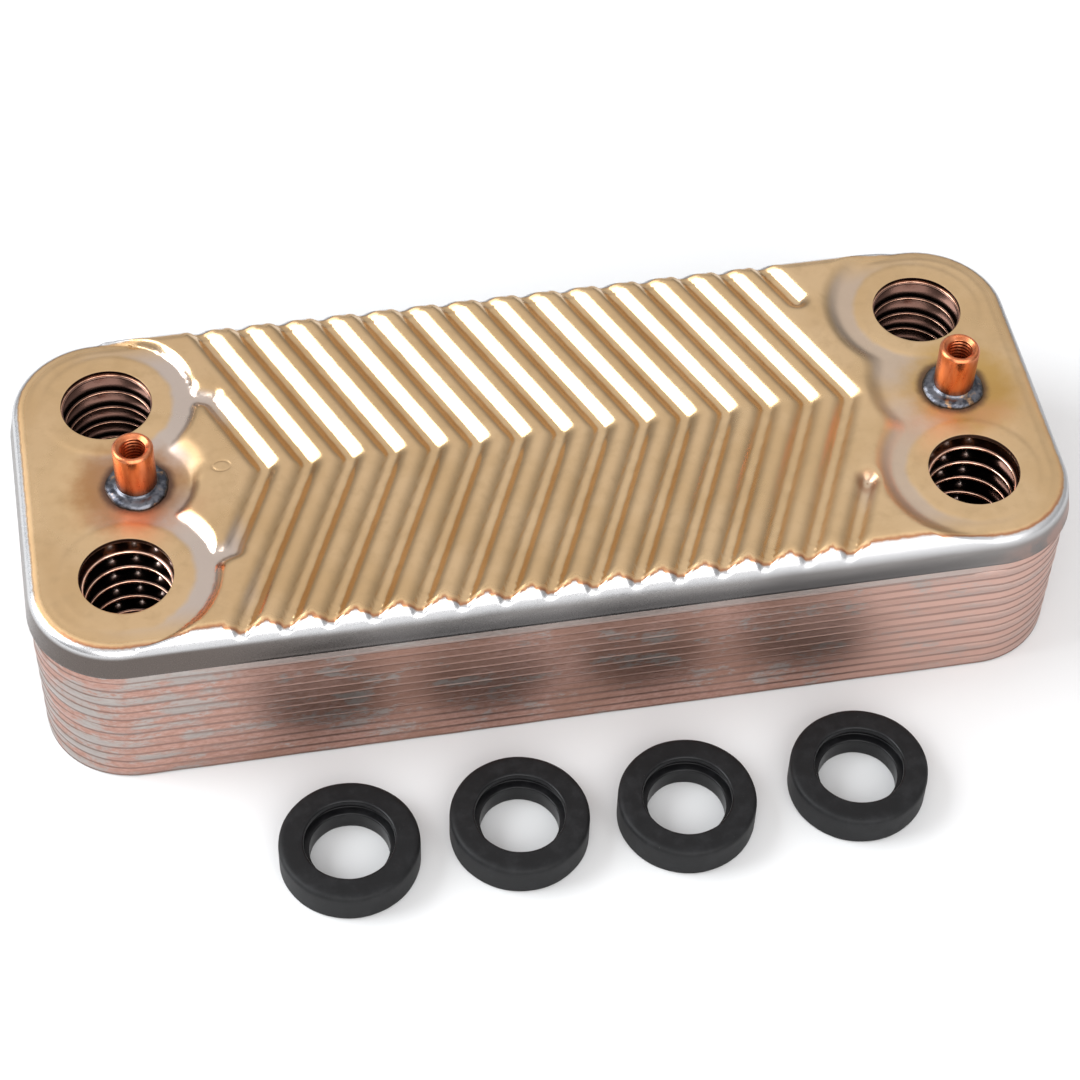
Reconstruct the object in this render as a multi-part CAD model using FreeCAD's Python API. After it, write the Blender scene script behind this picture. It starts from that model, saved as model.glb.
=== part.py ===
"""Brazed plate heat exchanger with two threaded studs and four loose port seals.

Frame: origin at the centre of the base, +Z up out of the ports, +X along the length.
All sizes are in millimetres.
"""
import FreeCAD
import Part
import math
import os

# ports and studs
PORT_ALONG = 154.0
PORT_ACROSS = 40.6
PORT_RADIUS = 8.35
INNER_PORT_RADIUS = 8.0
LEFT_STUD_X = -73.2
RIGHT_STUD_X = 78.5

# plate pack
PLATE_COUNT = 15
SHEET = 0.30
BRAZE = 0.06
PRESS_DEPTH = 1.76
TRAY_HEIGHT = 8.1
PACK_LENGTH = 189.4
PACK_WIDTH = 74.4
PACK_CORNER = 16.4

# front plate
FRONT_SHEET = 0.95
FRONT_STEP = 2.5
FRONT_LENGTH = 190.4
FRONT_WIDTH = 75.4

# herringbone corrugation, widths measured along X
CHEVRON_PITCH = 7.75
CHEVRON_SLANT = 0.456
FIRST_APEX_X = -50.0
FRONT_GROOVES = 15
FRONT_FLOOR = 1.4
FRONT_WALL = 1.8
CHANNEL_FLOOR = 1.9
CHANNEL_WALL = 1.975
STUB_UPPER_END_Y = 25.5
STUB_LOWER_END_Y = -20.5
FIRST_GROOVE_REACH = 16.2
LINK_END_X = -62.2
LINK_END_Y = 18.4

# pressed zones round the ports and studs
FRONT_ZONE_RADIUS = 15.6
FRONT_ZONE_WALL = 2.1
CHANNEL_ZONE_RADIUS = 15.1
CHANNEL_ZONE_WALL = 1.3
END_ZONE_X = 66.0
LEFT_STUD_ZONE_RADIUS = 9.8
RIGHT_STUD_ZONE_RADIUS = 14.0

# braze seams
SEAM_HEIGHT = 1.2
COLLAR_WIDTH = 2.2

# studs
STUD_RADIUS = 3.7
STUD_HEIGHT = 10.9
STUD_CHAMFER = 0.4
THREAD_RADIUS = 2.1
THREAD_LENGTH = 7.6
MOUTH_RADIUS = 2.9
WELD_RADIUS = 5.7
WELD_HEIGHT = 1.5

# loose seals
SEAL_RADIUS = 12.5
SEAL_HEIGHT = 6.5
SEAL_BORE = 7.1
SEAL_MOUTH = 8.1
SEAL_GROOVE_DEPTH = 2.6
SEAL_LIP = 0.9
SEAL_EDGE = 1.1
SEAL_CENTRES = ((-44.2, -61.2), (-13.6, -60.6), (16.6, -61.8), (48.6, -60.4))

# heights and slopes worked out from the sizes above
PITCH = PRESS_DEPTH + SHEET + BRAZE
FLARE = (SHEET + BRAZE) / PITCH
CHANNEL_COUNT = PLATE_COUNT - 2
PACK_TOP = TRAY_HEIGHT + CHANNEL_COUNT * PITCH
PORT_PLANE = PACK_TOP + BRAZE + FRONT_SHEET
FRONT_TOP = PORT_PLANE + PRESS_DEPTH
FRONT_EDGE = CHANNEL_COUNT * PITCH + FRONT_STEP
ABOVE = 4.0
PORTS = {
    "rear_left": (-PORT_ALONG / 2, PORT_ACROSS / 2),
    "front_left": (-PORT_ALONG / 2, -PORT_ACROSS / 2),
    "rear_right": (PORT_ALONG / 2, PORT_ACROSS / 2),
    "front_right": (PORT_ALONG / 2, -PORT_ACROSS / 2),
}


def vec(x, y, z):
    return FreeCAD.Vector(x, y, z)


def rounded_wire(length, width, corner, z):
    """A rounded rectangle centred on the Z axis."""
    a, b = length / 2, width / 2
    c = corner * (1 - math.sqrt(0.5))
    points = [
        ((a - corner, -b), (a - c, -b + c), (a, -b + corner)),
        ((a, b - corner), (a - c, b - c), (a - corner, b)),
        ((-a + corner, b), (-a + c, b - c), (-a, b - corner)),
        ((-a, -b + corner), (-a + c, -b + c), (-a + corner, -b)),
    ]
    edges = []
    for i, corner_points in enumerate(points):
        start, middle, end = [vec(x, y, z) for x, y in corner_points]
        edges.append(Part.Arc(start, middle, end).toShape())
        following = points[(i + 1) % 4][0]
        edges.append(Part.LineSegment(end, vec(following[0], following[1], z)).toShape())
    return Part.Wire(edges)


def flared_block(length, width, corner, bottom, top):
    """A solid whose sides lean in by the pack's flare from its bottom edge to its top."""
    inset = (top - bottom) * FLARE
    lower = rounded_wire(length, width, corner, bottom)
    upper = rounded_wire(length - 2 * inset, width - 2 * inset, corner - inset, top)
    return Part.makeLoft([lower, upper], True, True)


def inset_block(inset, bottom, top, reference):
    """The pack's outline moved inwards, as wide as it is at the reference height."""
    grown = (bottom - reference) * FLARE + inset
    return flared_block(
        PACK_LENGTH - 2 * grown, PACK_WIDTH - 2 * grown, PACK_CORNER - grown, bottom, top
    )


def comb_face(apexes, floor, wall, low, high, lift):
    """Cross-section of the space above the corrugation, in the plane Y = 0."""
    margin = FRONT_LENGTH / 2
    points = [vec(apexes[0] - margin, 0, high + lift)]
    for x in apexes:
        points.append(vec(x - floor / 2 - wall, 0, high + lift))
        points.append(vec(x - floor / 2, 0, low + lift))
        points.append(vec(x + floor / 2, 0, low + lift))
        points.append(vec(x + floor / 2 + wall, 0, high + lift))
    points.append(vec(apexes[-1] + margin, 0, high + lift))
    points.append(vec(apexes[-1] + margin, 0, high + ABOVE))
    points.append(vec(apexes[0] - margin, 0, high + ABOVE))
    points.append(points[0])
    return Part.Face(Part.makePolygon(points))


def chevron_space(apexes, floor, wall, low, high, lift):
    """Two slanted combs that meet at the centreline, with their apexes towards +X."""
    reach = PACK_WIDTH / 2 + 2
    face = comb_face(apexes, floor, wall, low, high, lift)
    arms = [face.extrude(vec(-reach * CHEVRON_SLANT, side * reach, 0)) for side in (1, -1)]
    return arms[0].fuse(arms[1])


def disc_space(x, y, radius, wall, base):
    """A round pressed zone with a sloping wall, open above."""
    rise = PRESS_DEPTH + ABOVE
    spread = wall * rise / PRESS_DEPTH
    return Part.makeCone(radius, radius + spread, rise, vec(x, y, base))


def end_space(side, y_from, y_to, start, low, high, lift):
    """The flat end of a plate beyond a given distance from its middle."""
    far = FRONT_LENGTH / 2 + 5
    x = start if side > 0 else -far
    rise = high - low + ABOVE
    return Part.makeBox(far - start, y_to - y_from, rise, vec(x, y_from, low + lift))


def joined(shapes):
    return shapes[0].multiFuse(shapes[1:]) if len(shapes) > 1 else shapes[0]


def front_spaces(lift):
    """Everything pressed down from the front plate's highest level."""
    low, high = PORT_PLANE, FRONT_TOP
    base = low + lift
    apexes = [FIRST_APEX_X + i * CHEVRON_PITCH for i in range(1, FRONT_GROOVES)]
    spaces = [chevron_space(apexes, FRONT_FLOOR, FRONT_WALL, low, high, lift)]
    first = chevron_space([FIRST_APEX_X], FRONT_FLOOR, FRONT_WALL, low, high, lift)
    reach = Part.makeBox(
        FRONT_LENGTH, 2 * FIRST_GROOVE_REACH, 2 * FRONT_TOP,
        vec(-FRONT_LENGTH / 2, -FIRST_GROOVE_REACH, 0),
    )
    spaces.append(first.common(reach))
    for x, y in PORTS.values():
        spaces.append(disc_space(x, y, FRONT_ZONE_RADIUS, FRONT_ZONE_WALL, base))
    for x, radius in ((LEFT_STUD_X, LEFT_STUD_ZONE_RADIUS), (RIGHT_STUD_X, RIGHT_STUD_ZONE_RADIUS)):
        spaces.append(disc_space(x, 0, radius, FRONT_ZONE_WALL, base))
    for side in (-1, 1):
        spaces.append(
            end_space(side, -FRONT_WIDTH, FRONT_WIDTH, PORT_ALONG / 2, low, high, lift)
        )
    return joined(spaces + short_grooves(lift))


def short_grooves(lift):
    """Short outer pieces of the last groove, and links from the first groove to the port zones."""
    last = FIRST_APEX_X + FRONT_GROOVES * CHEVRON_PITCH
    first_end_x = FIRST_APEX_X - CHEVRON_SLANT * FIRST_GROOVE_REACH
    grooves = []
    for end_y in (STUB_UPPER_END_Y, STUB_LOWER_END_Y):
        outer_y = math.copysign(FRONT_WIDTH / 2 + 2, end_y)
        inner = (last - CHEVRON_SLANT * abs(end_y), end_y)
        outer = (last - CHEVRON_SLANT * abs(outer_y), outer_y)
        grooves += groove_run(inner, outer, lift)
        side = math.copysign(1, end_y)
        start = (first_end_x, side * FIRST_GROOVE_REACH)
        grooves += groove_run(start, (LINK_END_X, side * LINK_END_Y), lift)
    return grooves


def groove_run(start, end, lift):
    """A straight groove between two points, open above, with round ends."""
    low, rise = PORT_PLANE + lift, PRESS_DEPTH + ABOVE
    run = vec(end[0] - start[0], end[1] - start[1], 0)
    slope = math.hypot(1, CHEVRON_SLANT)
    floor = FRONT_FLOOR / 2 / slope
    mouth = floor + FRONT_WALL / slope * rise / PRESS_DEPTH
    across = vec(-run.y, run.x, 0).normalize()
    foot, head = vec(start[0], start[1], low), vec(start[0], start[1], low + rise)
    section = [foot - across * floor, foot + across * floor, head + across * mouth, head - across * mouth]
    trough = Part.Face(Part.makePolygon(section + section[:1])).extrude(run)
    ends = [Part.makeCone(floor, mouth, rise, vec(x, y, low)) for x, y in (start, end)]
    return [trough] + ends


def front_plate():
    grown = (PACK_WIDTH - FRONT_WIDTH) / 2
    outer = inset_block(grown, FRONT_EDGE, FRONT_TOP + 1, FRONT_EDGE)
    wall_gap = (FRONT_EDGE - CHANNEL_COUNT * PITCH) * FLARE - BRAZE
    inner = inset_block(wall_gap, FRONT_EDGE - 1, FRONT_TOP, FRONT_EDGE)
    top = outer.cut(front_spaces(0))
    hollow = inner.cut(front_spaces(-FRONT_SHEET))
    plate = top.cut(hollow)
    for x, y in PORTS.values():
        plate = plate.cut(Part.makeCylinder(PORT_RADIUS, 20, vec(x, y, PORT_PLANE - 10)))
    return plate


def flat_zone(side, end, low, high, lift):
    """The level zone round one port of a channel plate: a disc and its quarter of the end."""
    x, y = end * PORT_ALONG / 2, side * PORT_ACROSS / 2
    y_from, y_to = (0, PACK_WIDTH) if side > 0 else (-PACK_WIDTH, 0)
    disc = disc_space(x, y, CHANNEL_ZONE_RADIUS, CHANNEL_ZONE_WALL, low + lift)
    return disc.fuse(end_space(end, y_from, y_to, END_ZONE_X, low, high, lift))


def channel_spaces(low, high, lift):
    """Pressed spaces of a channel plate: low round the front ports, high round the rear ones."""
    apexes = [FIRST_APEX_X + i * CHEVRON_PITCH for i in range(-1, FRONT_GROOVES + 2)]
    chevrons = chevron_space(apexes, CHANNEL_FLOOR, CHANNEL_WALL, low, high, lift)
    for end in (-1, 1):
        raised = flat_zone(1, end, low - 2, high, 0)
        chevrons = chevrons.cut(raised.common(slab(high + lift)))
    sunk = [flat_zone(-1, end, low, high, lift) for end in (-1, 1)]
    return joined([chevrons] + sunk)


def slab(top):
    """Everything below a height, as wide as the plates."""
    size = 2 * FRONT_LENGTH
    return Part.makeBox(size, size, size, vec(-size / 2, -size / 2, top - size))


def channel_tray():
    """The repeated channel plate, with its lower edge at Z = 0 and no ports cut."""
    high, low = TRAY_HEIGHT, TRAY_HEIGHT - PRESS_DEPTH
    outer = inset_block(0, 0, high + 1, 0)
    inner = inset_block(SHEET, -1, high, 0)
    return outer.cut(channel_spaces(low, high, 0)).cut(inner.cut(channel_spaces(low, high, -SHEET)))


def with_ports(tray):
    for x, y in PORTS.values():
        tray = tray.cut(Part.makeCylinder(INNER_PORT_RADIUS, 20, vec(x, y, -5)))
    return tray


def is_turned(level):
    return level % 2 == 0


def placed(tray, level):
    """A copy of a tray in the stack, turned end for end on every other level."""
    copy = tray.copy()
    if is_turned(level):
        copy.rotate(vec(0, 0, 0), vec(0, 0, 1), 180)
    copy.translate(vec(0, 0, level * PITCH))
    return copy


def seam_ring(level):
    """Braze between two rims, just inside the upper rim's lower edge."""
    lower_edge = level * PITCH
    upper_edge = lower_edge + PITCH if level < CHANNEL_COUNT else FRONT_EDGE
    top = upper_edge + SEAM_HEIGHT
    gap_outside = (upper_edge - lower_edge) * FLARE - BRAZE
    filled = inset_block(gap_outside, upper_edge, top, upper_edge)
    return filled.cut(inset_block(0, lower_edge, top + 1, lower_edge))


def port_collars(level):
    """Braze rings round the two ports where a plate meets the next one up, on alternate sides."""
    z = level * PITCH + TRAY_HEIGHT
    side = "rear" if is_turned(level + 1) else "front"
    bore = PORT_RADIUS if level == CHANNEL_COUNT else INNER_PORT_RADIUS
    rings = []
    for name, (x, y) in PORTS.items():
        if name.startswith(side):
            outer = Part.makeCylinder(bore + COLLAR_WIDTH, BRAZE, vec(x, y, z))
            rings.append(outer.cut(Part.makeCylinder(bore, BRAZE, vec(x, y, z))))
    return rings


def stud(x):
    """A round post with a chamfered rim and a blind threaded hole, drawn at tap-drill size."""
    top = STUD_HEIGHT
    r, c = STUD_RADIUS, STUD_CHAMFER
    mouth = MOUTH_RADIUS - THREAD_RADIUS
    bottom = top - mouth - THREAD_LENGTH
    profile = [
        (0, 0), (r, 0), (r, top - c), (r - c, top), (MOUTH_RADIUS, top),
        (THREAD_RADIUS, top - mouth), (THREAD_RADIUS, bottom), (0, bottom - 0.8),
    ]
    return turned_solid(profile, x, 0, PORT_PLANE)


def weld(x):
    """Fillet bead round the foot of a stud."""
    r, w, h = STUD_RADIUS, WELD_RADIUS, WELD_HEIGHT
    profile = [(r, 0), (w, 0), (w - 0.15, 0.45), (w - 0.7, 0.85), (r + 0.6, 1.2), (r, h)]
    return turned_solid(profile, x, 0, PORT_PLANE)


def turned_solid(profile, x, y, z):
    """A solid of revolution about a vertical axis from radius and height pairs."""
    points = [vec(r, 0, h) for r, h in profile]
    face = Part.Face(Part.makePolygon(points + points[:1]))
    solid = face.revolve(vec(0, 0, 0), vec(0, 0, 1), 360)
    solid.translate(vec(x, y, z))
    return solid


def seal(x, y):
    """A flat-bottomed rubber ring with a lipped recess in its top and a rounded outer edge."""
    r, h, e = SEAL_RADIUS, SEAL_HEIGHT, SEAL_EDGE
    groove = h - SEAL_GROOVE_DEPTH
    corner = [(r - e + e * math.cos(a), h - e + e * math.sin(a)) for a in steps(0, 90, 4)]
    profile = [(SEAL_BORE, 0), (r - 0.5, 0), (r, 0.5)] + corner
    profile += [(SEAL_MOUTH, h), (SEAL_MOUTH, h - SEAL_LIP)]
    profile += [(SEAL_MOUTH + 0.6, groove + 0.4), (SEAL_MOUTH + 0.6, groove), (SEAL_BORE, groove)]
    return turned_solid(profile, x, y, 0)


def steps(first, last, count):
    return [math.radians(first + (last - first) * i / count) for i in range(count + 1)]


def save(shape, name):
    solids = shape.Solids
    kept = solids[0] if len(solids) == 1 else Part.makeCompound(solids)
    kept.exportStep(f"parts/{name}.step")
    print(name, len(solids), "solids", round(shape.Volume, 2), "mm3", shape.isValid())


def save_pack():
    tray = channel_tray()
    ported = with_ports(tray)
    save(front_plate(), "front_plate")
    for level in range(CHANNEL_COUNT, 0, -1):
        number = CHANNEL_COUNT + 1 - level
        save(placed(ported, level), f"channel_plate_{number:02d}")
    save(placed(tray, 0), "back_plate")
    for level in range(CHANNEL_COUNT, -1, -1):
        number = CHANNEL_COUNT + 1 - level
        seam = Part.makeCompound([seam_ring(level)] + port_collars(level))
        save(seam, f"braze_seam_{number:02d}")


def save_fittings():
    for side, x in (("left", LEFT_STUD_X), ("right", RIGHT_STUD_X)):
        save(stud(x), f"stud_{side}")
        save(weld(x), f"stud_weld_{side}")
    for number, (x, y) in enumerate(SEAL_CENTRES, 1):
        save(seal(x, y), f"port_seal_{number}")


os.makedirs("parts", exist_ok=True)
save_pack()
save_fittings()
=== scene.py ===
import math

import bpy
import numpy as np
from mathutils import Matrix, Vector
from mathutils.geometry import delaunay_2d_cdt


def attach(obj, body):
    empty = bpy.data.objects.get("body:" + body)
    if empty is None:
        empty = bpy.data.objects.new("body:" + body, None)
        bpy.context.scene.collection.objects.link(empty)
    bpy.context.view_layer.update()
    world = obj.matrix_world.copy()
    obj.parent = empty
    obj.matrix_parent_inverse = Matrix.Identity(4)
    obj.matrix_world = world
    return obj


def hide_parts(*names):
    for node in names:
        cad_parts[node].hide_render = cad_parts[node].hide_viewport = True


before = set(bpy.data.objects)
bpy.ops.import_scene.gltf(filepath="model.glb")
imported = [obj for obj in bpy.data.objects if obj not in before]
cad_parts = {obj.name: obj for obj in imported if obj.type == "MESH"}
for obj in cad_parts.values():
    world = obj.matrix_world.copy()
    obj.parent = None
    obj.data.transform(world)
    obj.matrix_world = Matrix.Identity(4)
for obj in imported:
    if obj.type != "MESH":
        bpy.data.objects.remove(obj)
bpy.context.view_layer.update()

# All sizes are in millimetres, and those in this first block are as in the CAD. A rounded
# rectangle is its length, width and corner radius. FRONT_EDGE is counted from the port plane.
MM = 0.001
PORT_X, PORT_Y = 77.0, 20.3
PORT_RADIUS, INNER_PORT_RADIUS = 8.35, 8.0
PORTS = [(sx * PORT_X, sy * PORT_Y) for sx in (-1, 1) for sy in (1, -1)]
SHEET, BRAZE, PRESS_DEPTH, TRAY_HEIGHT = 0.30, 0.06, 1.76, 8.1
PITCH = PRESS_DEPTH + SHEET + BRAZE
FLARE = (SHEET + BRAZE) / PITCH
CHANNEL_COUNT = 13
PACK = (189.4, 74.4, 16.4)
FRONT = (190.4, 75.4, 16.9)
FRONT_SHEET, FRONT_LAP = 0.95, 2.5
PORT_PLANE = TRAY_HEIGHT + CHANNEL_COUNT * PITCH + BRAZE + FRONT_SHEET
FRONT_EDGE = CHANNEL_COUNT * PITCH + FRONT_LAP - PORT_PLANE
CHEVRON_PITCH, SLANT, FIRST_APEX, GROOVES = 7.75, 0.456, -50.0, 15
ACROSS = 1 / math.hypot(1, SLANT)

# The front plate's rolled shoulder, and its low zones round the ports and studs. Zone radii
# and the first groove's turn and end differ from the CAD by up to 1.5 mm.
SHOULDER, SHOULDER_INSET = 4.0, 4.80
SHOULDER_HEIGHT = PRESS_DEPTH - SHOULDER
LEFT_ZONE, RIGHT_ZONE = 15.5, 14.5
LEFT_STUD_ZONE, RIGHT_STUD_ZONE = 9.7, 12.8
SEAT_RADIUS, SEAT_RISE = 12.6, 0.16
FIRST_TURN_Y, LINK_END = 17.5, (-63.0, 19.6)
LAST_APEX = FIRST_APEX + GROOVES * CHEVRON_PITCH
REAR_STUB_Y, FRONT_STUB_Y, STUB_END_Y = 25.5, -20.5, 45.0
EMBOSS_X, EMBOSS_Y, EMBOSS_LONG, EMBOSS_SHORT = -57.9, 1.0, 1.6, 1.2

# A channel plate's port zones, rolled edge, hooked lip, port collars and dimples.
TRAY_ZONE, TRAY_SHOULDER, HOOK = 15.1, 1.5, 0.06
HIGH_COLLAR, LOW_COLLAR = 3.35, 1.6
DIMPLE_RING, DIMPLE_STEP = 10.2, math.radians(26)

# The studs with their M5 threads, and the loose seals.
STUDS = {"left": -73.2, "right": 78.5}
STUD_RADIUS, STUD_HEIGHT = 3.7, 10.9
THREAD_RADIUS, THREAD_PITCH, THREAD_DEPTH = 2.1, 0.8, 0.26
THREAD_START, THREAD_LENGTH = 0.8, 7.6
SEALS = ((-44.2, -61.2), (-13.6, -60.6), (16.6, -61.8), (48.6, -60.4))


# ---------------------------------------------------------------- mesh tools
class Surface:
    """Points and faces in millimetres, made into one smooth mesh."""

    def __init__(self):
        self.points, self.faces, self.marks, self.count = [], [], [], 0

    def add(self, xyz, **marks):
        xyz = np.asarray(xyz, float)
        self.points.append(xyz)
        self.marks.append(marks)
        self.count += len(xyz)
        return np.arange(self.count - len(xyz), self.count)

    def band(self, lower, upper, flip=False):
        """Quads between two closed rings of as many points."""
        a, b = lower, np.roll(lower, -1)
        c, d = np.roll(upper, -1), upper
        quads = np.stack([d, c, b, a] if flip else [a, b, c, d], 1)
        self.faces += quads.tolist()

    def cap(self, ring, xyz, flip=False, **marks):
        """A fan from a closed ring to one point."""
        centre = self.add([xyz], **marks)[0]
        a, b = ring, np.roll(ring, -1)
        if flip:
            a, b = b, a
        self.faces += [[int(p), int(q), int(centre)] for p, q in zip(a, b)]

    def shift(self, x, y, z):
        self.points = [p + np.array([x, y, z]) for p in self.points]

    def build(self, name, material, body, replaces=()):
        mesh = bpy.data.meshes.new(name)
        points = np.concatenate(self.points) * MM
        mesh.from_pydata(points.tolist(), [], self.faces)
        mesh.polygons.foreach_set("use_smooth", np.ones(len(self.faces), bool))
        for key in sorted({k for m in self.marks for k in m}):
            values = [
                np.broadcast_to(np.asarray(m.get(key, 0.0), float), (len(p),))
                for m, p in zip(self.marks, self.points)
            ]
            layer = mesh.attributes.new(key, "FLOAT", "POINT")
            layer.data.foreach_set("value", np.concatenate(values).astype(np.float32))
        mesh.validate()
        mesh.update()
        obj = bpy.data.objects.new(name, mesh)
        bpy.context.scene.collection.objects.link(obj)
        mesh.materials.append(material)
        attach(obj, body)
        if replaces:
            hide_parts(*replaces)
        return obj


def triangulated(points, loops, holes=()):
    """Triangles over points; loops are index arrays of closed boundaries, holes are kept open."""
    edges = []
    for loop in loops:
        edges += list(zip(loop.tolist(), np.roll(loop, -1).tolist()))
    result = delaunay_2d_cdt([Vector(p) for p in points.tolist()], edges, [], 0, 1e-7, True)
    first = np.array([ids[0] if ids else -1 for ids in result[3]])
    triangles = first[np.array(result[2])]
    open_loop = np.full(len(points), -1)
    for i, loop in enumerate(holes):
        open_loop[loop] = i
    own = open_loop[triangles]
    inside_hole = (own[:, 0] >= 0) & (own[:, 0] == own[:, 1]) & (own[:, 1] == own[:, 2])
    triangles = triangles[~inside_hole & (triangles >= 0).all(1)]
    a, b, c = (points[triangles[:, i]] for i in range(3))
    area = (b[:, 0] - a[:, 0]) * (c[:, 1] - a[:, 1]) - (b[:, 1] - a[:, 1]) * (c[:, 0] - a[:, 0])
    triangles[area < 0] = triangles[area < 0][:, ::-1]
    return triangles[np.abs(area) > 1e-6]


def outline(size, spacing):
    """Points of a rounded rectangle and their outward directions, counter-clockwise."""
    length, width, corner = size
    cx, cy = length / 2 - corner, width / 2 - corner
    points, normals = [], []
    centres = [(cx, -cy), (cx, cy), (-cx, cy), (-cx, -cy)]
    arc = max(6, round(corner * math.pi / 2 / spacing))
    for i, centre in enumerate(centres):
        start = -math.pi / 2 + i * math.pi / 2
        for k in range(arc):
            a = start + k * math.pi / 2 / arc
            normals.append((math.cos(a), math.sin(a)))
            points.append(centre)
        a = start + math.pi / 2
        following = centres[(i + 1) % 4]
        run = math.dist(centre, following)
        straight = max(2, round(run / spacing))
        for k in range(straight):
            t = k / straight
            normals.append((math.cos(a), math.sin(a)))
            points.append((centre[0] + (following[0] - centre[0]) * t,
                           centre[1] + (following[1] - centre[1]) * t))
    normals = np.array(normals)
    return np.array(points) + corner * normals, normals


def inset_of(x, y, size):
    """How far a point lies inside a rounded rectangle."""
    length, width, corner = size
    qx, qy = np.abs(x) - (length / 2 - corner), np.abs(y) - (width / 2 - corner)
    outside = np.hypot(np.maximum(qx, 0), np.maximum(qy, 0))
    return corner - outside - np.minimum(np.maximum(qx, qy), 0)


def circle(x, y, radius, count):
    a = np.arange(count) * 2 * math.pi / count
    return np.stack([x + radius * np.cos(a), y + radius * np.sin(a)], 1)


def lift(xy, z):
    return np.column_stack([xy, np.broadcast_to(np.asarray(z, float), (len(xy),))])


def smooth(t):
    t = np.clip(t, 0, 1)
    return t * t * (3 - 2 * t)


def soft_min(a, b, k):
    h = np.maximum(k - np.abs(a - b), 0)
    return np.minimum(a, b) - h * h / (4 * np.maximum(k, 1e-9))


def waves(x, y, seed, amplitude, shortest, longest, count=7):
    """Gentle unevenness: a few plane waves in seeded directions."""
    rng = np.random.default_rng(seed)
    total = np.zeros(np.broadcast(x, y).shape)
    for _ in range(count):
        a, phase = rng.uniform(0, 2 * math.pi, 2)
        k = 2 * math.pi / rng.uniform(shortest, longest)
        total += np.sin(k * (x * math.cos(a) + y * math.sin(a)) + phase)
    return total * amplitude / math.sqrt(count)


def grid(size, inset, pitch, seed=1):
    """Staggered points, slightly jittered, that lie further inside the outline than the inset."""
    length, width, _ = size
    rows = np.arange(-width / 2, width / 2, pitch * 0.866)
    points = []
    for i, y in enumerate(rows):
        x = np.arange(-length / 2 + (i % 2) * pitch / 2, length / 2, pitch)
        points.append(np.column_stack([x, np.full(len(x), y)]))
    points = np.concatenate(points)
    points += np.random.default_rng(seed).uniform(-0.02, 0.02, points.shape) * pitch
    return points[inset_of(points[:, 0], points[:, 1], size) > inset]


def clear_of_ports(points, radius):
    keep = np.ones(len(points), bool)
    for x, y in PORTS:
        keep &= np.hypot(points[:, 0] - x, points[:, 1] - y) > radius
    return points[keep]


# ---------------------------------------------------------------- pressed shapes
def arm_distance(x, y, apexes):
    """Distance across the nearest chevron groove from its centreline."""
    u = x + SLANT * (np.sqrt(y * y + 0.5) - 0.35)
    k = np.clip(np.round((u - apexes[0]) / CHEVRON_PITCH), 0, len(apexes) - 1)
    return np.abs(u - apexes[0] - k * CHEVRON_PITCH) * ACROSS


def run_distance(x, y, start, end):
    """Distance from a straight run between two points."""
    dx, dy = end[0] - start[0], end[1] - start[1]
    along = np.clip(((x - start[0]) * dx + (y - start[1]) * dy) / (dx * dx + dy * dy), 0, 1)
    return np.hypot(x - start[0] - along * dx, y - start[1] - along * dy)


def stub_distance(x, y):
    """Distance from the two short outer pieces of the last groove."""
    along = (REAR_STUB_Y, STUB_END_Y, FRONT_STUB_Y, -STUB_END_Y)
    ends = [(LAST_APEX - SLANT * abs(v), v) for v in along]
    return np.minimum(run_distance(x, y, *ends[:2]), run_distance(x, y, *ends[2:]))


def first_groove_distance(x, y):
    """Distance from the first groove, whose ends turn into the left port zones."""
    turn = (FIRST_APEX - SLANT * FIRST_TURN_Y, FIRST_TURN_Y)
    side_y = np.sqrt(y * y + 0.5) - 0.35
    arm = run_distance(x, side_y, (FIRST_APEX, 0), turn)
    return soft_min(arm, run_distance(x, side_y, turn, LINK_END), 0.5)


def pressed(t, roundness=1.75):
    """Height of a pressed wall: crisp at the floor, rounded into the crest."""
    return PRESS_DEPTH * (1 - (1 - np.clip(t, 0, 1)) ** roundness)


def front_relief(x, y):
    """Height of the front plate above the port plane, before its shoulder."""
    apexes = [FIRST_APEX + i * CHEVRON_PITCH for i in range(1, GROOVES)]
    groove_wall, zone_wall, right_wall, floor = 2.7, 2.3, 4.4, 0.62
    grooves = np.minimum(arm_distance(x, y, apexes), first_groove_distance(x, y))
    t = (grooves - floor) / groove_wall
    t = soft_min(t, (stub_distance(x, y) - floor) / groove_wall, 0.3)
    right = 9.0
    for px, py in PORTS:
        if px < 0:
            wall = zone_wall - 0.7 * smooth((y - 14.0) / 6.0)
            t = soft_min(t, (np.hypot(x - px, y - py) - LEFT_ZONE) / wall, 0.7)
        else:
            right = soft_min(right, (np.hypot(x - px, y - py) - RIGHT_ZONE) / right_wall, 0.5)
    stud_wall = zone_wall + 1.6 * smooth((y + 1.0) / 4.0)
    t = soft_min(t, (np.hypot(x - STUDS["left"], y) - LEFT_STUD_ZONE) / stud_wall, 0.7)
    right = soft_min(right, (np.hypot(x - STUDS["right"], y) - RIGHT_STUD_ZONE) / right_wall, 0.6)
    t = soft_min(t, (PORT_X + x) / zone_wall, 0.35)
    right = soft_min(right, (PORT_X - x) / right_wall, 0.5)
    z = np.minimum(pressed(t), PRESS_DEPTH * smooth(right))
    for px, py in PORTS:
        r = np.hypot(x - px, y - py)
        z = z + SEAT_RISE * smooth((SEAT_RADIUS - r) / 1.2)
    ring = np.hypot((x - EMBOSS_X) / EMBOSS_LONG, (y - EMBOSS_Y) / EMBOSS_SHORT)
    z = z - 0.13 * np.exp(-((ring - 1.0) / 0.17) ** 2)
    return z + waves(x, y, 11, 0.012, 9, 30)


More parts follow.
